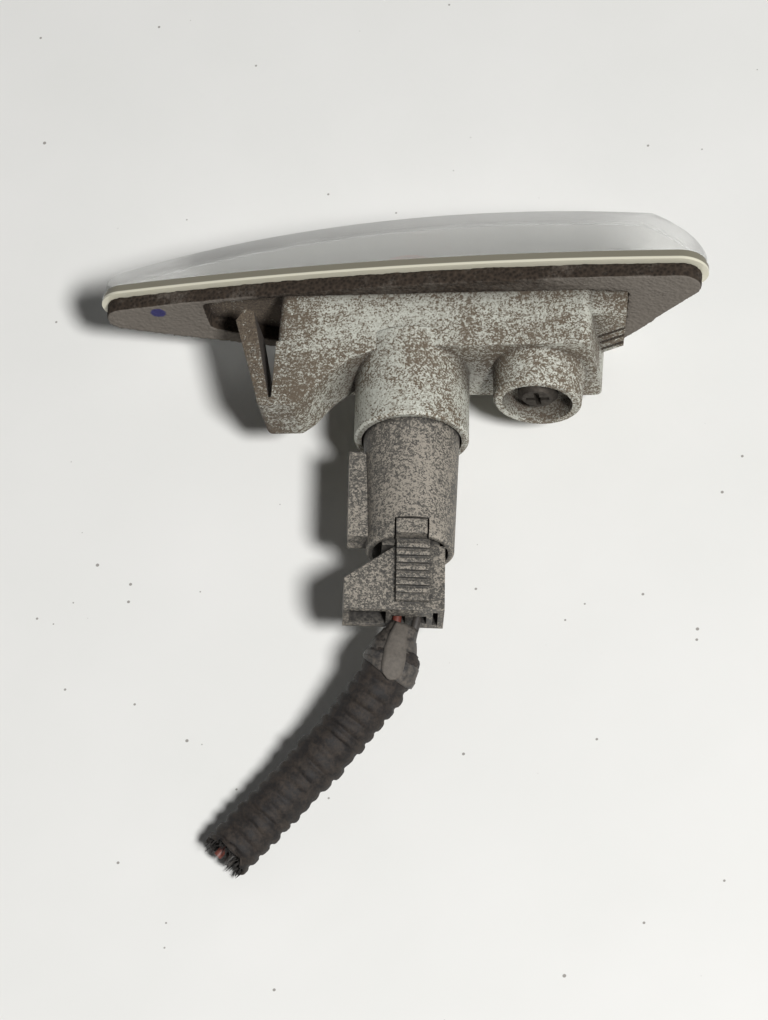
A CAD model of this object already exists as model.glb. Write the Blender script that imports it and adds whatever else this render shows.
# %% [markdown]
# # A side turn signal lamp
# The lamp lies on a pale table, seen from behind: clear lens, foam gasket, grey housing with a spring clip,
# a bulb holder with its plug, and a stub of corrugated conduit with two cut leads.
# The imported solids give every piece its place. This first cell loads them and keeps their box.

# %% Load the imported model
import bpy
import bmesh
import math
import random
from mathutils import Matrix, Vector, noise


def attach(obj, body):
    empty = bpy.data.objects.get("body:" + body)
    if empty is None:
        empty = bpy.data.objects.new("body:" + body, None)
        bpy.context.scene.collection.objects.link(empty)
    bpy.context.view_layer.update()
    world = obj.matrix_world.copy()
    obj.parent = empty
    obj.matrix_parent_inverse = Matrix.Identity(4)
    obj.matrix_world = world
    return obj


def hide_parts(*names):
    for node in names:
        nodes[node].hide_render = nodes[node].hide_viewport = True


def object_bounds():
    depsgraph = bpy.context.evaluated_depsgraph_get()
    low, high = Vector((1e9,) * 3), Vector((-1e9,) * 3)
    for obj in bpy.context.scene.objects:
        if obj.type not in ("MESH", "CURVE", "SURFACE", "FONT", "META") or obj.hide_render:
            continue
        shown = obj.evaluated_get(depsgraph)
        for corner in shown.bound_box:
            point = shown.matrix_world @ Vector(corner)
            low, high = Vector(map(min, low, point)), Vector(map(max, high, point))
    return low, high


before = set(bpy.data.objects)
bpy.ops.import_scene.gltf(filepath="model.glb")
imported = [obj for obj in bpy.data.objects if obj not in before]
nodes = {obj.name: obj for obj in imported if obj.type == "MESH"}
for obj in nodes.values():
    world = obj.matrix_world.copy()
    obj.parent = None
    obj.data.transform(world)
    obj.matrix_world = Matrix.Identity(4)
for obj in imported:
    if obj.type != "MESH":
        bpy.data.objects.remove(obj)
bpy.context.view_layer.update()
MM = 0.001
print("solids:", sorted(nodes))

# %% [markdown]
# ## The camera
# The photograph was taken from above and behind the lamp, with the phone turned a little. A camera can be
# aimed by a target and a roll, but here its three axes are known from points that show both in the photograph
# and in the solids, so the axes go straight into its matrix. The long lens keeps the perspective as weak as it is.

# %% Place the camera
CAMERA_RIGHT = Vector((0.9831, 0.0733, -0.1678))
CAMERA_UP = Vector((0.0146, 0.8821, 0.4708))
CAMERA_TARGET = Vector((-8.43, -36.95, -17.55)) * MM
CAMERA_DISTANCE = 1.0
CAMERA_LENS = 163.97
CAMERA_SENSOR = 36.0
camera_right = CAMERA_RIGHT.normalized()
camera_back = camera_right.cross(CAMERA_UP).normalized()
camera_up = camera_back.cross(camera_right)
camera_data = bpy.data.cameras.new("camera")
camera_data.lens = CAMERA_LENS
camera_data.sensor_width = CAMERA_SENSOR
camera_data.clip_start = 0.01
camera = bpy.data.objects.new("camera", camera_data)
axes = Matrix((camera_right, camera_up, camera_back)).transposed().to_4x4()
camera.matrix_world = Matrix.Translation(CAMERA_TARGET + camera_back * CAMERA_DISTANCE) @ axes
bpy.context.scene.collection.objects.link(camera)
bpy.context.scene.camera = camera
print("camera looks along", [round(c, 3) for c in -camera_back])

# %% [markdown]
# ## Helpers for finishes
# Colours are written as sRGB hex values, as a painter would note them, and turned to the linear values that
# shaders use. One function adds a node: a socket given as a value is set, one given as a socket is linked.

# %% Colour and node helpers


def linear(hex_colour):
    """An sRGB hex colour as a linear colour with alpha."""
    channels = [int(hex_colour[i:i + 2], 16) / 255 for i in (1, 3, 5)]
    return tuple(c / 12.92 if c <= 0.04045 else ((c + 0.055) / 1.055) ** 2.4 for c in channels) + (1.0,)


def node(tree, kind, sockets=None, **settings):
    """Adds a node, with its settings, and sets or links its sockets."""
    made = tree.nodes.new(kind)
    for name, value in settings.items():
        setattr(made, name, value)
    for name, value in (sockets or {}).items():
        if isinstance(value, bpy.types.NodeSocket):
            tree.links.new(value, made.inputs[name])
        else:
            made.inputs[name].default_value = value
    return made


def per_mm(size):
    """The texture scale whose pattern repeats about every size millimetres."""
    return 1 / (size * MM)


def new_finish(name):
    """An empty finish: its node tree and its shader."""
    made = bpy.data.materials.new(name)
    made.use_nodes = True
    tree = made.node_tree
    return made, tree, tree.nodes["Principled BSDF"]


def dress(piece, finish):
    """Gives a piece one finish."""
    piece.data.materials.clear()
    piece.data.materials.append(finish)


# %% [markdown]
# ## Dusty moulded plastic
# The housing, the holder and the plug are moulded plastics that have lived behind a car's wing. Road dust clings
# to them as fine grains, thick in some patches and wiped off in others, and hands and tools have left streaks.
# It could be painted on as a picture, but patterns that the shader makes need no picture and fit every face. One
# function builds it: grains from small random cells, clumps and patches from a fine and a coarse noise, streaks
# from a noise stretched along the lamp, dirt in corners from ambient occlusion. A Bevel node rounds the moulded
# edges for the light.

# %% Dusty plastic
# Sizes in millimetres. Road dust is finer, about 0.1 mm; its grains are drawn at 0.3 mm so that they show.
DUST_GRAIN = 0.3
DUST_CLUMP = 1.1
DUST_PATCH = 14.0
RUB_WIDTH = 0.9
CORNER_REACH = 9.0
EDGE_ROUNDING = 0.35
# Along X, where thrown dirt begins and where it is full.
THROWN_START = -20.0
THROWN_FULL = -34.0
# A small scale along X draws the rubs out along the lamp.
RUB_SCALE = (0.06, 1.0, 1.0)


def dusty_plastic(name, base, worn, dust, dirt, cover, streaks, splashed, roughness):
    """Moulded plastic of two tones under grains of dust, with dirt in its corners and thrown on one end."""
    made, tree, shader = new_finish(name)
    place = node(tree, "ShaderNodeTexCoord").outputs["Object"]
    grains = node(tree, "ShaderNodeTexVoronoi", {"Vector": place, "Scale": per_mm(DUST_GRAIN)}, feature="F1")
    chances = node(tree, "ShaderNodeSeparateColor", {"Color": grains.outputs["Color"]})
    clumps = node(tree, "ShaderNodeTexNoise", {"Vector": place, "Scale": per_mm(DUST_CLUMP), "Detail": 5.0,
                                               "Roughness": 0.8})
    patches = node(tree, "ShaderNodeTexNoise", {"Vector": place, "Scale": per_mm(DUST_PATCH), "Detail": 5.0,
                                                "Roughness": 0.6})
    drawn_out = node(tree, "ShaderNodeMapping", {"Vector": place, "Scale": RUB_SCALE})
    rubs = node(tree, "ShaderNodeTexNoise", {"Vector": drawn_out.outputs["Vector"], "Scale": per_mm(RUB_WIDTH),
                                             "Detail": 3.0, "Roughness": 0.6})
    # How thick the dust lies: by patch, by rub, and thicker towards the end that the wheel throws dirt on.
    thick = node(tree, "ShaderNodeMapRange", {"Value": patches.outputs["Fac"], "From Min": 0.36,
                                              "From Max": 0.64, "To Min": cover[0], "To Max": cover[1]})
    lifted = node(tree, "ShaderNodeMapRange", {"Value": rubs.outputs["Fac"], "From Min": 0.35, "From Max": 0.65,
                                               "To Min": -streaks, "To Max": streaks})
    layer = node(tree, "ShaderNodeMath", {0: thick.outputs["Result"], 1: lifted.outputs["Result"]}, operation="ADD")
    ends = node(tree, "ShaderNodeSeparateXYZ", {"Vector": place})
    thrown = node(tree, "ShaderNodeMapRange", {"Value": ends.outputs["X"], "From Min": THROWN_START * MM,
                                               "From Max": THROWN_FULL * MM, "To Max": splashed})
    heap = node(tree, "ShaderNodeMath", {0: layer.outputs["Value"], 1: thrown.outputs["Result"]}, operation="ADD")
    grainy = node(tree, "ShaderNodeMath", {0: chances.outputs["Red"], 1: 0.3, 2: heap.outputs["Value"]},
                  operation="MULTIPLY_ADD")
    spots = node(tree, "ShaderNodeMath", {0: clumps.outputs["Fac"], 1: 0.75, 2: grainy.outputs["Value"]},
                 operation="MULTIPLY_ADD")
    dusty = node(tree, "ShaderNodeMapRange", {"Value": spots.outputs["Value"], "From Min": 0.89,
                                              "From Max": 1.09}, interpolation_type="SMOOTHSTEP")
    # A second chance of each grain pits the plastic itself.
    pitted = node(tree, "ShaderNodeMapRange", {"Value": chances.outputs["Green"], "From Min": 0.3, "From Max": 0.9})
    tone = node(tree, "ShaderNodeMix", {"Factor": pitted.outputs["Result"], "A": linear(base), "B": linear(worn)},
                data_type="RGBA")
    dusted = node(tree, "ShaderNodeMix", {"Factor": dusty.outputs["Result"], "A": tone.outputs["Result"],
                                          "B": linear(dust)}, data_type="RGBA")
    corners = node(tree, "ShaderNodeAmbientOcclusion", {"Distance": CORNER_REACH * MM}, samples=6)
    deep = node(tree, "ShaderNodeMapRange", {"Value": corners.outputs["AO"], "From Min": 0.3, "From Max": 0.82,
                                             "To Min": 0.9, "To Max": 0.0})
    # Thrown dirt also leaves single dark grains.
    flung = node(tree, "ShaderNodeMath", {0: thrown.outputs["Result"], 1: chances.outputs["Blue"]},
                 operation="MULTIPLY")
    dirty = node(tree, "ShaderNodeMath", {0: flung.outputs["Value"], 1: 4.0, 2: deep.outputs["Result"]},
                 operation="MULTIPLY_ADD", use_clamp=True)
    soiled = node(tree, "ShaderNodeMix", {"Factor": dirty.outputs["Value"], "A": dusted.outputs["Result"],
                                          "B": linear(dirt)}, data_type="RGBA")
    sheen = node(tree, "ShaderNodeMapRange", {"Value": dusty.outputs["Result"], "To Min": roughness,
                                              "To Max": 0.92})
    soft_edges = node(tree, "ShaderNodeBevel", {"Radius": EDGE_ROUNDING * MM}, samples=4)
    relief = node(tree, "ShaderNodeBump", {"Height": spots.outputs["Value"], "Strength": 0.35,
                                           "Distance": 0.15 * MM, "Normal": soft_edges.outputs["Normal"]})
    tree.links.new(soiled.outputs["Result"], shader.inputs["Base Color"])
    tree.links.new(sheen.outputs["Result"], shader.inputs["Roughness"])
    tree.links.new(relief.outputs["Normal"], shader.inputs["Normal"])
    shader.inputs["IOR"].default_value = 1.53
    return made


# ABS of the housing: pale grey with a green cast, satin where wiped, matt under brown grains.
housing_abs = dusty_plastic("abs_light_grey_dusty", base="#BABBB1", worn="#A3A398", dust="#5E5345", dirt="#352C24",
                            cover=(0.33, 0.57), streaks=0.035, splashed=0.2, roughness=0.45)
# PBT of holder and plug: dark grey, almost hidden under pale grains of dried mud.
holder_pbt = dusty_plastic("pbt_dark_grey_dusty", base="#4B4842", worn="#2E2C29", dust="#8F887D", dirt="#1C1A18",
                           cover=(0.35, 0.5), streaks=0.03, splashed=0.0, roughness=0.5)
dress(nodes["housing"], housing_abs)
for name in ("bulb_holder", "connector_shell"):
    dress(nodes[name], holder_pbt)
print("dusty plastics:", housing_abs.name, holder_pbt.name)

# %% [markdown]
# ## Lens and bulb
# The lens is clear acrylic, a thin wall with acrylic's index of 1.49 and a little roughness from age. Transmission
# alone could make it, but then hardly any light reaches the reflector, which stays dark. So the clear wall is also
# partly transparent by its Alpha: most light goes straight through, as it does through a thin wall, and the rest
# is refracted and mirrored. The bulb's glass has a dull amber coat, so little light passes through it.

# %% Lens and bulb
ACRYLIC_IOR = 1.49
CLEAR_ALPHA = 0.28
BEAD_TOP = 4.0
DIRT_TOP = 5.9
BLEND = 0.2
acrylic, tree, shader = new_finish("acrylic_clear_aged")
shader.inputs["IOR"].default_value = ACRYLIC_IOR
place = node(tree, "ShaderNodeTexCoord").outputs["Object"]
haze = node(tree, "ShaderNodeTexNoise", {"Vector": place, "Scale": per_mm(3.0), "Detail": 6.0})
clouding = node(tree, "ShaderNodeMapRange", {"Value": haze.outputs["Fac"], "From Min": 0.4, "From Max": 0.75,
                                             "To Min": 0.02, "To Max": 0.14})
# The bead that was welded to the housing has gone cream, with a dark line of dirt above it, and neither lets light
# straight through: there the finish is solid, and above it is clear.
depth = node(tree, "ShaderNodeSeparateXYZ", {"Vector": place})
dirty = node(tree, "ShaderNodeMapRange", {"Value": depth.outputs["Y"], "From Min": BEAD_TOP * MM,
                                          "From Max": (BEAD_TOP + BLEND) * MM})
clear = node(tree, "ShaderNodeMapRange", {"Value": depth.outputs["Y"], "From Min": DIRT_TOP * MM,
                                          "From Max": (DIRT_TOP + BLEND) * MM})
bead = node(tree, "ShaderNodeMix", {"Factor": dirty.outputs["Result"], "A": linear("#CFCBB8"),
                                    "B": linear("#6F6B5C")}, data_type="RGBA")
tint = node(tree, "ShaderNodeMix", {"Factor": clear.outputs["Result"], "A": bead.outputs["Result"],
                                    "B": linear("#F6F7F3")}, data_type="RGBA")
solid = node(tree, "ShaderNodeMapRange", {"Value": clear.outputs["Result"], "To Min": 1.0, "To Max": CLEAR_ALPHA})
tree.links.new(tint.outputs["Result"], shader.inputs["Base Color"])
tree.links.new(clear.outputs["Result"], shader.inputs["Transmission Weight"])
tree.links.new(solid.outputs["Result"], shader.inputs["Alpha"])
tree.links.new(clouding.outputs["Result"], shader.inputs["Roughness"])
dress(nodes["lens"], acrylic)

amber, tree, shader = new_finish("glass_amber")
shader.inputs["Base Color"].default_value = linear("#C0562A")
shader.inputs["Transmission Weight"].default_value = 0.1
shader.inputs["Roughness"].default_value = 0.35
shader.inputs["IOR"].default_value = 1.5
dress(nodes["bulb_glass"], amber)
print("lens and bulb:", acrylic.name, amber.name)

# %% [markdown]
# ## Metals and rubber inside
# Contacts and terminals are stamped brass, the screw is dull zinc-plated steel, the filament is tungsten and its
# leads share that finish, the reflector is plastic with a vapour of aluminium on it, and the seal is black rubber.
# Most hardly show, but each still gets the small variation that its making leaves. One function makes the metals,
# with a noise that moves colour and roughness together, and one makes dull stuffs, whose colour alone wanders.

# %% Metals and dull stuffs


def worn_metal(name, bright, dull, grain, blurred):
    """Metal that wanders between two tones and two roughnesses over grains of a size in millimetres."""
    made, tree, shader = new_finish(name)
    shader.inputs["Metallic"].default_value = 1.0
    place = node(tree, "ShaderNodeTexCoord").outputs["Object"]
    marks = node(tree, "ShaderNodeTexNoise", {"Vector": place, "Scale": per_mm(grain), "Detail": 4.0})
    tint = node(tree, "ShaderNodeMix", {"Factor": marks.outputs["Fac"], "A": linear(bright), "B": linear(dull)},
                data_type="RGBA")
    blur = node(tree, "ShaderNodeMapRange", {"Value": marks.outputs["Fac"], "To Min": blurred[0],
                                             "To Max": blurred[1]})
    tree.links.new(tint.outputs["Result"], shader.inputs["Base Color"])
    tree.links.new(blur.outputs["Result"], shader.inputs["Roughness"])
    return made


def mottled(name, dark, pale, patch, detail, roughness):
    """A dull stuff whose colour wanders between two tones over patches of a size in millimetres."""
    made, tree, shader = new_finish(name)
    place = node(tree, "ShaderNodeTexCoord").outputs["Object"]
    cloud = node(tree, "ShaderNodeTexNoise", {"Vector": place, "Scale": per_mm(patch), "Detail": detail})
    tint = node(tree, "ShaderNodeMix", {"Factor": cloud.outputs["Fac"], "A": linear(dark), "B": linear(pale)},
                data_type="RGBA")
    tree.links.new(tint.outputs["Result"], shader.inputs["Base Color"])
    shader.inputs["Roughness"].default_value = roughness
    return made


brass = worn_metal("brass_stamped", "#C8A663", "#8C7140", grain=1.2, blurred=(0.25, 0.5))
screw_steel = worn_metal("steel_zinc_plated_dull", "#57524C", "#2C2825", grain=0.8, blurred=(0.5, 0.75))
tungsten = worn_metal("tungsten_drawn", "#8E8C88", "#6A6864", grain=0.4, blurred=(0.3, 0.55))
aluminised = worn_metal("abs_aluminised", "#E6E6E3", "#CFCECA", grain=6.0, blurred=(0.2, 0.42))
rubber = mottled("epdm_rubber_black", "#1C1B1A", "#34322F", patch=1.5, detail=4.0, roughness=0.7)
for name in ("contact_left", "contact_right", "terminal_left", "terminal_right"):
    dress(nodes[name], brass)
for name in ("bulb_lead_left", "bulb_lead_right", "filament"):
    dress(nodes[name], tungsten)
dress(nodes["reflector_screw"], screw_steel)
dress(nodes["holder_seal"], rubber)
print("inner finishes:", [finish.name for finish in (brass, screw_steel, tungsten, aluminised, rubber)])

# %% [markdown]
# ## The two leads
# Each lead is a limp wire that leaves the plug, dives into the conduit and is cut off at its end. Its line is a
# NURBS spline on the same points as the solid's route, so it bends smoothly. A round bevel gives it its thickness.

# %% Leads
ROUTE = [(-0.4, -78.6, -2.0), (-1.3, -82.5, -3.2), (-5.2, -87.5, -6.0), (-16.8, -99.5, -12.0),
         (-36.4, -119.4, -16.7)]
WIRE_RADIUS = 0.95
WIRE_SPREAD = 1.4
SIDEWAYS = (0.8, -0.6)
IN_PLUG = {"wire_red": [(-0.04, -66.01, 0.45), (0.37, -73.0, 0.45)],
           "wire_black": [(4.26, -65.76, -0.45), (4.66, -72.75, -0.45)]}


def spline_curve(name, points, bevel=0.0, resolution=16):
    """A curve object with one smooth open spline on the points, in millimetres."""
    data = bpy.data.curves.new(name, "CURVE")
    data.dimensions = "3D"
    data.bevel_depth = bevel * MM
    data.bevel_resolution = 6
    data.use_fill_caps = True
    data.resolution_u = resolution
    spline = data.splines.new("NURBS")
    spline.points.add(len(points) - 1)
    for point, place in zip(spline.points, points):
        point.co = (*[c * MM for c in place], 1.0)
    spline.order_u = 3
    spline.use_endpoint_u = True
    made = bpy.data.objects.new(name, data)
    bpy.context.scene.collection.objects.link(made)
    return made


for name, sign, clean, dusty in (("wire_red", -1, "#47160F", "#6B3A2E"), ("wire_black", 1, "#1D1B1A", "#3F3A35")):
    colour = name.removeprefix("wire_")
    offset = WIRE_SPREAD * sign
    points = IN_PLUG[name] + [(x + offset * SIDEWAYS[0], y + offset * SIDEWAYS[1], z) for x, y, z in ROUTE[1:]]
    lead = spline_curve(f"lead_{colour}", points, WIRE_RADIUS)
    # Soft PVC: satin, with dust stuck to it.
    dress(lead, mottled(f"pvc_insulation_{colour}", clean, dusty, patch=0.8, detail=5.0, roughness=0.5))
    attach(lead, "root")
    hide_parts(name)

# %% [markdown]
# ## Pieces that follow the leads
# The sleeve, the tape and its loose end all lie along the leads. It is easiest to model such a piece straight,
# along X, and then to bend it: every point keeps its distance from the axis and moves to the same length on the
# line. The line is read from the route's own spline, so the pieces bend exactly as the leads do.

# %% A line and a way to bend along it


def line_along(name, points):
    """Rows of length, place, direction and side direction along a smooth line on the points."""
    guide = spline_curve(name, points, resolution=24)
    mesh = bpy.data.meshes.new_from_object(guide)
    places = [vert.co.copy() for vert in mesh.vertices]
    bpy.data.meshes.remove(mesh)
    bpy.data.objects.remove(guide)
    rows = []
    side = Vector((1, 0, 0))
    length = 0.0
    for i, place in enumerate(places):
        ahead = (places[min(i + 1, len(places) - 1)] - places[max(i - 1, 0)]).normalized()
        side = (side - ahead * side.dot(ahead)).normalized()
        length += (place - places[i - 1]).length if i else 0.0
        rows.append((length, place, ahead, side))
    return rows


def bend(bm, rows):
    """Bends a mesh that was made along X, in millimetres, onto a line."""
    for vert in bm.verts:
        along, across, up = vert.co * MM
        i = 0
        while i < len(rows) - 2 and rows[i + 1][0] < along:
            i += 1
        start, place, ahead, side = rows[i]
        next_start, next_place, next_ahead, next_side = rows[i + 1]
        share = (along - start) / (next_start - start)
        ahead = ahead.lerp(next_ahead, min(max(share, 0), 1)).normalized()
        side = side.lerp(next_side, min(max(share, 0), 1)).normalized()
        vert.co = place.lerp(next_place, share) + side * across + side.cross(ahead) * up


def spun(outline, steps):
    """Spins an outline, rows of place along X and radius in millimetres, about X."""
    made = bmesh.new()
    verts = [made.verts.new((place, radius, 0)) for place, radius in outline]
    edges = [made.edges.new(pair) for pair in zip(verts, verts[1:])]
    bmesh.ops.spin(made, geom=verts + edges, cent=(0, 0, 0), axis=(1, 0, 0), angle=math.tau, steps=steps,
                   use_merge=True)
    bmesh.ops.remove_doubles(made, verts=made.verts, dist=0.001)
    return made


def mesh_object(name, bm):
    """Makes a bmesh into an object of the scene."""
    mesh = bpy.data.meshes.new(name)
    bm.to_mesh(mesh)
    bm.free()
    made = bpy.data.objects.new(name, mesh)
    bpy.context.scene.collection.objects.link(made)
    return made


def new_piece(name, bm, finish, smooth=True):
    """Makes a bmesh into a piece of the lamp, in one finish."""
    bmesh.ops.recalc_face_normals(bm, faces=bm.faces)
    for face in bm.faces:
        face.smooth = smooth
    made = mesh_object(name, bm)
    dress(made, finish)
    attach(made, "root")
    print(name, "faces:", len(made.data.polygons))
    return made


def thicken(piece, wall):
    """Gives an open shell a wall, inwards."""
    shell = piece.modifiers.new("wall", "SOLIDIFY")
    shell.thickness = wall * MM
    shell.offset = -1


sleeve_line = line_along("sleeve_line", ROUTE)
SLEEVE_LENGTH = sleeve_line[-1][0] / MM
print("sleeve length", round(SLEEVE_LENGTH, 1), "mm")

# %% [markdown]
# ## The corrugated sleeve
# The sleeve is thin extruded plastic, drawn into rings by the tool so that it can bend. One ring could be repeated
# by an Array, but age and heat have made the real rings uneven. So one line, up and down over all the rings, is
# spun about the axis: each ring gets its own height and width, and a noise dents the wall. The far end is torn, not
# sawn, so its edge wanders and slants back.

# %% Sleeve
RING_PITCH = 3.3
RING_VALLEY = 5.05
RING_PEAK = 5.65
RING_SHOULDER = 0.16
LEAST_RING = 0.3
SLEEVE_SIDES = 44
SLEEVE_WALL = 0.55
TORN_EDGE = 1.3
TORN_SLANT = 0.5
chance = random.Random(11)

outline = []
along = 0.0
while along < SLEEVE_LENGTH - LEAST_RING:
    pitch = RING_PITCH * chance.uniform(0.8, 1.16)
    peak = RING_PEAK + chance.uniform(-0.3, 0.12)
    shoulder = peak - RING_SHOULDER
    for share, radius in ((0.0, RING_VALLEY), (0.1, RING_VALLEY), (0.24, shoulder), (0.4, peak), (0.66, peak),
                          (0.82, shoulder), (0.95, RING_VALLEY)):
        outline.append((min(along + pitch * share, SLEEVE_LENGTH), radius))
    along += pitch
bm = spun(outline, SLEEVE_SIDES)
for vert in bm.verts:
    place = vert.co.copy()
    # Wide dents and small ones in the wall, and rings that lean.
    dent = noise.noise(place * 0.22) * 0.07 + noise.noise(place * 0.8) * 0.02
    vert.co.y *= 1 + dent
    vert.co.z *= 1 + dent
    vert.co.x += noise.noise(place * 0.3 + Vector((9, 0, 0))) * 0.45
    if place.x > SLEEVE_LENGTH - RING_PITCH:
        share = (place.x - SLEEVE_LENGTH + RING_PITCH) / RING_PITCH
        vert.co.x += (noise.noise(place * 0.55) - 0.35) * TORN_EDGE * share
        vert.co.x += min(place.z, 0) * TORN_SLANT * share
bend(bm, sleeve_line)

# Polypropylene, extruded and ringed: nearly black, waxy where clean, dull under patches of dust.
sleeve_pp, tree, shader = new_finish("polypropylene_black_aged")
place = node(tree, "ShaderNodeTexCoord").outputs["Object"]
grime = node(tree, "ShaderNodeTexNoise", {"Vector": place, "Scale": per_mm(2.2), "Detail": 6.0, "Roughness": 0.7})
specks = node(tree, "ShaderNodeTexNoise", {"Vector": place, "Scale": per_mm(0.6), "Detail": 8.0, "Roughness": 0.85})
both = node(tree, "ShaderNodeMath", {0: grime.outputs["Fac"], 1: specks.outputs["Fac"]}, operation="ADD")
cover = node(tree, "ShaderNodeMapRange", {"Value": both.outputs["Value"], "From Min": 0.9, "From Max": 1.4})
tint = node(tree, "ShaderNodeMix", {"Factor": cover.outputs["Result"], "A": linear("#141110"),
                                    "B": linear("#463E37")}, data_type="RGBA")
gloss = node(tree, "ShaderNodeMapRange", {"Value": cover.outputs["Result"], "To Min": 0.55, "To Max": 0.9})
relief = node(tree, "ShaderNodeBump", {"Height": both.outputs["Value"], "Strength": 0.5, "Distance": 0.25 * MM})
tree.links.new(tint.outputs["Result"], shader.inputs["Base Color"])
tree.links.new(gloss.outputs["Result"], shader.inputs["Roughness"])
tree.links.new(relief.outputs["Normal"], shader.inputs["Normal"])
shader.inputs["Specular IOR Level"].default_value = 0.25
sleeve = new_piece("corrugated_sleeve", bm, sleeve_pp)
thicken(sleeve, SLEEVE_WALL)
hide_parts("conduit")

# %% [markdown]
# ## Torn fibres
# Where the sleeve was torn off, threads of the tape inside stand out of its end like a worn brush. Each is a thin
# cone, bent a little and leaning outwards. They are many and small, so they stay coarse and share one mesh.

# %% Fibres
FIBRES = 120
bm = bmesh.new()
for i in range(FIBRES):
    length = chance.uniform(1.0, 2.6)
    made = bmesh.ops.create_cone(bm, cap_ends=True, segments=5, radius1=chance.uniform(0.16, 0.32), radius2=0.05,
                                 depth=length)
    grown = made["verts"]
    bmesh.ops.translate(bm, verts=grown, vec=(0, 0, length / 2))
    lean = Matrix.Rotation(math.radians(90 + chance.uniform(-55, 55)), 4, "Y")
    turn = Matrix.Rotation(chance.uniform(0, math.tau), 4, "X")
    spread = Matrix.Translation((SLEEVE_LENGTH - chance.uniform(0.8, 2.6), chance.uniform(3.1, 4.9), 0))
    bmesh.ops.transform(bm, matrix=turn @ spread @ lean, verts=grown)
    back = min(grown[0].co.z, 0) * TORN_SLANT
    bmesh.ops.translate(bm, verts=grown, vec=(back, 0, 0))
bend(bm, sleeve_line)
# Polyester threads out of a woven tape: black, dull, a little brown with dust.
thread = mottled("polyester_thread_black", "#0C0B0A", "#241F1B", patch=0.7, detail=2.0, roughness=0.85)
fibres = new_piece("torn_fibres", bm, thread)

# %% [markdown]
# ## Tape between plug and sleeve
# Dark adhesive tape is wound in a cone over the two leads and the mouth of the sleeve. Again one line is spun: it
# steps up at each turn of the tape. Shearing the spun cone makes the turns run round it askew, as a hand winds them.

# %% Tape
TAPE_ROUTE = [(1.7, -73.4, -0.2), (0.9, -75.4, -0.8), (-0.4, -78.6, -2.0), (-1.3, -82.5, -3.2),
              (-5.2, -87.5, -6.0)]
TAPE_STEP = 0.16
TAPE_LENGTH = 10.6
TAPE_SIDES = 40
TAPE_WALL = 0.3
TAPE_SHEAR = 0.12
FLAT_MOUTH = 0.72
FLAT_LENGTH = 3.0
tape_line = line_along("tape_line", TAPE_ROUTE)


def freed(along):
    """How free the winding is of the plug's flat mouth: 0 there, 1 from a few millimetres on."""
    return min(along / FLAT_LENGTH, 1.0)


def flattened(along):
    """How high the winding stands for its width: pressed flat at the mouth, round further on."""
    return FLAT_MOUTH + (1 - FLAT_MOUTH) * freed(along)


turns = ((0.0, 2.75), (2.4, 3.6), (5.0, 4.75), (7.6, 5.75), (9.2, 6.05), (TAPE_LENGTH, 6.0))
outline = []
for (place, radius), (next_place, next_radius) in zip(turns, turns[1:]):
    rise = next_radius - radius - TAPE_STEP
    for share in (0.02, 0.25, 0.5, 0.75, 0.98):
        outline.append((place + (next_place - place) * share, radius + TAPE_STEP + rise * share))
bm = spun(outline, TAPE_SIDES)
for vert in bm.verts:
    place = vert.co.copy()
    # Wide creases and small ones, and turns that run askew.
    crease = 1 + noise.noise(place * 0.5) * 0.05 + noise.noise(place * 1.4) * 0.02
    vert.co.y *= crease
    vert.co.z *= crease * flattened(place.x)
    vert.co.x += place.y * TAPE_SHEAR * freed(place.x) + noise.noise(place * 0.6) * 0.2
bend(bm, tape_line)

# PVC tape with a rubbery glue: black, wrinkled, half gloss under a film of dust.
tape_pvc, tree, shader = new_finish("pvc_tape_black_dusty")
place = node(tree, "ShaderNodeTexCoord").outputs["Object"]
film = node(tree, "ShaderNodeTexNoise", {"Vector": place, "Scale": per_mm(1.1), "Detail": 6.0, "Roughness": 0.7})
cover = node(tree, "ShaderNodeMapRange", {"Value": film.outputs["Fac"], "From Min": 0.4, "From Max": 0.72})
tint = node(tree, "ShaderNodeMix", {"Factor": cover.outputs["Result"], "A": linear("#1F1D1C"),
                                    "B": linear("#5F5850")}, data_type="RGBA")
gloss = node(tree, "ShaderNodeMapRange", {"Value": cover.outputs["Result"], "To Min": 0.4, "To Max": 0.85})
relief = node(tree, "ShaderNodeBump", {"Height": film.outputs["Fac"], "Strength": 0.5, "Distance": 0.2 * MM})
tree.links.new(tint.outputs["Result"], shader.inputs["Base Color"])
tree.links.new(gloss.outputs["Result"], shader.inputs["Roughness"])
tree.links.new(relief.outputs["Normal"], shader.inputs["Normal"])
tape = new_piece("tape_winding", bm, tape_pvc)
thicken(tape, TAPE_WALL)
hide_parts("tape_tail")

# %% [markdown]
# ## The tape's loose end
# A paler strip of tape lies along the top of the winding, with its end cut round. A flat grid gives it enough points:
# the rows near its end are drawn in to round it, then it is bent to the line and laid on the winding.

# %% Loose end
STRIP_LENGTH = 11.0
STRIP_HALF = 2.3
STRIP_SHIFT = 2.2
STRIP_START = 0.2
STRIP_WALL = 0.25
STRIP_CLEARANCE = 0.25
NARROW_START = 0.62
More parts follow.
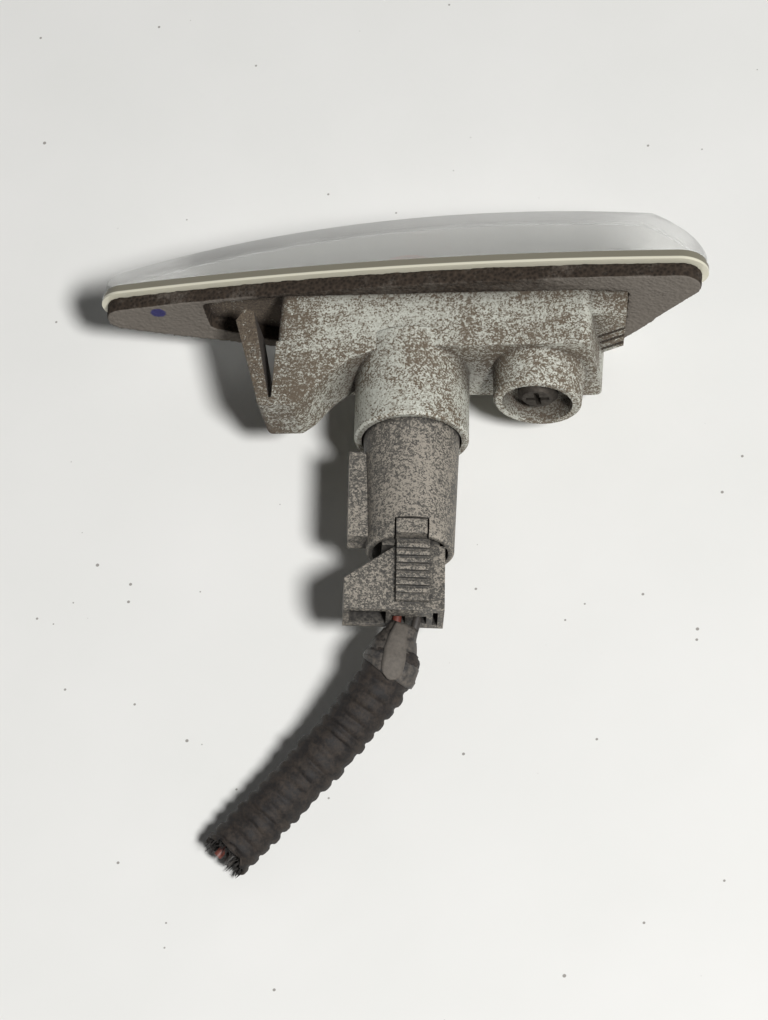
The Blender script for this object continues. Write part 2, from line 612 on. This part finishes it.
# The winding under the strip, taken as a plain cone: its first radius, its slope and where it stops growing.
CONE_RADIUS = 3.35
CONE_SLOPE = 0.345
CONE_LENGTH = 8.4
bm = bmesh.new()
bmesh.ops.create_grid(bm, x_segments=22, y_segments=6, size=1.0)
for vert in bm.verts:
    share = (vert.co.x + 1) / 2
    along = share * STRIP_LENGTH + STRIP_START
    left = STRIP_LENGTH * (1 - share)
    rounding = math.sqrt(max(1 - max(1 - left / STRIP_HALF, 0) ** 2, 0.02))
    width = NARROW_START + (1 - NARROW_START) * min(share * 2, 1)
    across = vert.co.y * STRIP_HALF * width * rounding + STRIP_SHIFT * share
    radius = CONE_RADIUS + min(along, CONE_LENGTH) * CONE_SLOPE + STRIP_CLEARANCE
    ripple = noise.noise(Vector((along * 0.4, across, 3))) * 0.12
    lift = math.sqrt(radius ** 2 - across ** 2) * flattened(along) + ripple
    vert.co = (along, across, -lift)
bend(bm, tape_line)
# Woven cloth tape: grey, dull, paler where dust fills the weave.
strip_cloth, tree, shader = new_finish("cloth_tape_grey_dusty")
place = node(tree, "ShaderNodeTexCoord").outputs["Object"]
film = node(tree, "ShaderNodeTexNoise", {"Vector": place, "Scale": per_mm(0.8), "Detail": 6.0, "Roughness": 0.65})
tint = node(tree, "ShaderNodeMix", {"Factor": film.outputs["Fac"], "A": linear("#35322E"), "B": linear("#6A635B")},
            data_type="RGBA")
relief = node(tree, "ShaderNodeBump", {"Height": film.outputs["Fac"], "Strength": 0.4, "Distance": 0.15 * MM})
tree.links.new(tint.outputs["Result"], shader.inputs["Base Color"])
tree.links.new(relief.outputs["Normal"], shader.inputs["Normal"])
shader.inputs["Roughness"].default_value = 0.8
strip = new_piece("tape_loose_end", bm, strip_cloth)
thicken(strip, STRIP_WALL)

# %% [markdown]
# ## The foam gasket
# The gasket is a pad of cut foam, soft and porous. The solid gives its outline exactly, so its mesh is copied,
# joined at its edges and remeshed finely, and then every point is moved a little by a noise of the cells' size.
# Smooth shading would hide that, so the cells also go into the finish.

# %% Foam
CELL = 0.9
CELL_DEPTH = 0.10
SWELL_DEPTH = 0.08
SUNK = 0.05
FOAM_VOXEL = 0.55
JOIN_DISTANCE = 0.01


def solid_copy(name):
    """A bmesh copy of a solid's mesh, joined at its edges."""
    made = bmesh.new()
    made.from_mesh(nodes[name].data)
    bmesh.ops.remove_doubles(made, verts=made.verts, dist=JOIN_DISTANCE * MM)
    return made


blank = mesh_object("foam_blank", solid_copy("gasket"))
cells = blank.modifiers.new("cells", "REMESH")
cells.mode = "VOXEL"
cells.voxel_size = FOAM_VOXEL * MM
bpy.context.view_layer.update()
fine = bpy.data.meshes.new_from_object(blank.evaluated_get(bpy.context.evaluated_depsgraph_get()))
bpy.data.objects.remove(blank)
bm = bmesh.new()
bm.from_mesh(fine)
bpy.data.meshes.remove(fine)
bmesh.ops.smooth_vert(bm, verts=bm.verts, factor=0.5, use_axis_x=True, use_axis_y=True, use_axis_z=True)
bm.normal_update()
for vert in bm.verts:
    place = vert.co / MM
    pore = noise.noise(place / CELL) * CELL_DEPTH + noise.noise(place / (CELL * 4)) * SWELL_DEPTH
    vert.co += vert.normal * (pore - SUNK) * MM

# Foamed polyethylene, cut from a sheet: dark brown, open cells, grey dust on the face that met the panel.
foam_pe, tree, shader = new_finish("polyethylene_foam_dark")
place = node(tree, "ShaderNodeTexCoord").outputs["Object"]
pores = node(tree, "ShaderNodeTexVoronoi", {"Vector": place, "Scale": per_mm(0.8)}, feature="F1")
stain = node(tree, "ShaderNodeTexNoise", {"Vector": place, "Scale": per_mm(7.0), "Detail": 6.0, "Roughness": 0.65})
specks = node(tree, "ShaderNodeTexNoise", {"Vector": place, "Scale": per_mm(0.8), "Detail": 8.0, "Roughness": 0.85})
facing = node(tree, "ShaderNodeNewGeometry")
parts = node(tree, "ShaderNodeSeparateXYZ", {"Vector": facing.outputs["Normal"]})
to_panel = node(tree, "ShaderNodeMapRange", {"Value": parts.outputs["Y"], "From Min": -0.4, "From Max": -0.9})
# The pad's two ends met the panel and are grey; between them the housing kept it dark.
lengthwise = node(tree, "ShaderNodeSeparateXYZ", {"Vector": place})
from_middle = node(tree, "ShaderNodeMath", {0: lengthwise.outputs["X"], 1: -4 * MM}, operation="SUBTRACT")
either_way = node(tree, "ShaderNodeMath", {0: from_middle.outputs["Value"]}, operation="ABSOLUTE")
at_ends = node(tree, "ShaderNodeMapRange", {"Value": either_way.outputs["Value"], "From Min": 28 * MM,
                                            "From Max": 46 * MM, "To Min": 0.12, "To Max": 0.62})
grey_face = node(tree, "ShaderNodeMath", {0: to_panel.outputs["Result"], 1: at_ends.outputs["Result"]},
                 operation="MULTIPLY")
settled = node(tree, "ShaderNodeMath", {0: grey_face.outputs["Value"], 1: stain.outputs["Fac"]}, operation="ADD")
speckled = node(tree, "ShaderNodeMath", {0: settled.outputs["Value"], 1: specks.outputs["Fac"]}, operation="ADD")
dust = node(tree, "ShaderNodeMapRange", {"Value": speckled.outputs["Value"], "From Min": 1.04, "From Max": 1.5})
pit = node(tree, "ShaderNodeMix", {"Factor": pores.outputs["Distance"], "A": linear("#1B1714"),
                                   "B": linear("#40372F")}, data_type="RGBA")
dusted = node(tree, "ShaderNodeMix", {"Factor": dust.outputs["Result"], "A": pit.outputs["Result"],
                                      "B": linear("#6A645D")}, data_type="RGBA")
# A dab of blue paint, about 3.5 mm across, marks one end of the pad.
reach = node(tree, "ShaderNodeVectorMath", {0: place, 1: (-57.0 * MM, 0.0, 5.3 * MM)}, operation="DISTANCE")
ragged = node(tree, "ShaderNodeMath", {0: specks.outputs["Fac"], 1: 1.2 * MM, 2: reach.outputs["Value"]},
              operation="MULTIPLY_ADD")
dab = node(tree, "ShaderNodeMapRange", {"Value": ragged.outputs["Value"], "From Min": 2.1 * MM,
                                        "From Max": 2.5 * MM, "To Min": 0.85, "To Max": 0.0})
marked = node(tree, "ShaderNodeMix", {"Factor": dab.outputs["Result"], "A": dusted.outputs["Result"],
                                      "B": linear("#24245C")}, data_type="RGBA")
relief = node(tree, "ShaderNodeBump", {"Height": pores.outputs["Distance"], "Strength": 0.7, "Distance": 0.3 * MM})
tree.links.new(marked.outputs["Result"], shader.inputs["Base Color"])
tree.links.new(relief.outputs["Normal"], shader.inputs["Normal"])
shader.inputs["Roughness"].default_value = 0.95
shader.inputs["Specular IOR Level"].default_value = 0.15
foam = new_piece("foam_pad", bm, foam_pe)
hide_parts("gasket")

# %% [markdown]
# ## The reflector's rim
# Seen through the lens the reflector's rim is low. The solid gives the whole reflector with a higher rim. A Boolean
# could take it down, but a cut of the copied mesh with one plane is simpler: what stands above the plane goes, and
# the open edges that the cut leaves are filled.

# %% Reflector
RIM_Y = 7.25
bm = solid_copy("reflector")
cut = bmesh.ops.bisect_plane(bm, geom=bm.verts[:] + bm.edges[:] + bm.faces[:], plane_co=(0, RIM_Y * MM, 0),
                             plane_no=(0, 1, 0), clear_outer=True)
rim_edges = [item for item in cut["geom_cut"] if isinstance(item, bmesh.types.BMEdge)]
bmesh.ops.holes_fill(bm, edges=rim_edges)
bmesh.ops.edgenet_fill(bm, edges=rim_edges)
bmesh.ops.triangulate(bm, faces=[face for face in bm.faces if len(face.verts) > 4])
reflector = new_piece("reflector_cup", bm, aluminised, smooth=False)
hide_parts("reflector")

# %% [markdown]
# ## Studio
# The table is a pale painted board with a few dark specks. The key lamp stands high on the right, so that a short
# soft shadow falls to the left, and a weak lamp fills from the other side. A picture of a room could light all of
# it, but two lamps in an even room are simpler to set. The lamps and the room together are set so that a grey of a
# given value renders near that value.

# %% Table and light
TABLE_HALF = 2.0
LIT_PLACE = (0, -0.04, 0)
ROOM_LIGHT = 0.035
ROOM_SHOWN = 0.68
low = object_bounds()[0].z
bm = bmesh.new()
bmesh.ops.create_grid(bm, x_segments=1, y_segments=1, size=TABLE_HALF)
bmesh.ops.translate(bm, verts=bm.verts, vec=(0, 0, low))
table = mesh_object("table", bm)
board, tree, shader = new_finish("board_white_painted")
place = node(tree, "ShaderNodeTexCoord").outputs["Object"]
mottle = node(tree, "ShaderNodeTexNoise", {"Vector": place, "Scale": per_mm(30.0), "Detail": 6.0})
grit = node(tree, "ShaderNodeTexVoronoi", {"Vector": place, "Scale": per_mm(4.0)}, feature="F1")
tint = node(tree, "ShaderNodeMix", {"Factor": mottle.outputs["Fac"], "A": linear("#E5E4E1"), "B": linear("#DDDDD9")},
            data_type="RGBA")
# Only some cells hold a speck, and each speck has its own size.
lot = node(tree, "ShaderNodeSeparateColor", {"Color": grit.outputs["Color"]})
reach = node(tree, "ShaderNodeMapRange", {"Value": lot.outputs["Red"], "From Min": 0.72, "To Max": 0.11})
inside = node(tree, "ShaderNodeMath", {0: reach.outputs["Result"], 1: grit.outputs["Distance"]}, operation="SUBTRACT")
speck = node(tree, "ShaderNodeMapRange", {"Value": inside.outputs["Value"], "From Max": 0.02, "To Max": 0.7})
dotted = node(tree, "ShaderNodeMix", {"Factor": speck.outputs["Result"], "A": tint.outputs["Result"],
                                      "B": linear("#5A5348")}, data_type="RGBA")
tree.links.new(dotted.outputs["Result"], shader.inputs["Base Color"])
shader.inputs["Roughness"].default_value = 0.55
dress(table, board)


def area_light(name, place, target, size, power):
    """A round lamp of a size in metres and a power in watts, aimed at a target."""
    data = bpy.data.lights.new(name, "AREA")
    data.shape = "DISK"
    data.size = size
    data.energy = power
    made = bpy.data.objects.new(name, data)
    made.location = place
    made.rotation_euler = (Vector(target) - Vector(place)).to_track_quat("-Z", "Y").to_euler()
    bpy.context.scene.collection.objects.link(made)


area_light("key", place=(0.74, -0.80, 1.42), target=LIT_PLACE, size=0.28, power=41.0)
area_light("fill", place=(-0.5, 0.45, 0.9), target=LIT_PLACE, size=0.9, power=0.2)
world = bpy.data.worlds.new("room")
bpy.context.scene.world = world
world.use_nodes = True
# Metal and glass show a bright room, but the room lights the rest only weakly, so the key's shadow stays.
tree = world.node_tree
ray = node(tree, "ShaderNodeLightPath")
shown = node(tree, "ShaderNodeMath", {0: ray.outputs["Is Glossy Ray"], 1: ray.outputs["Is Transmission Ray"]},
             operation="ADD", use_clamp=True)
room = node(tree, "ShaderNodeMapRange", {"Value": shown.outputs["Value"], "To Min": ROOM_LIGHT, "To Max": ROOM_SHOWN})
tree.nodes["Background"].inputs["Color"].default_value = linear("#FFFFFF")
tree.links.new(room.outputs["Result"], tree.nodes["Background"].inputs["Strength"])
bpy.context.scene.view_settings.view_transform = "Standard"
print("table at", round(low / MM, 2), "mm")
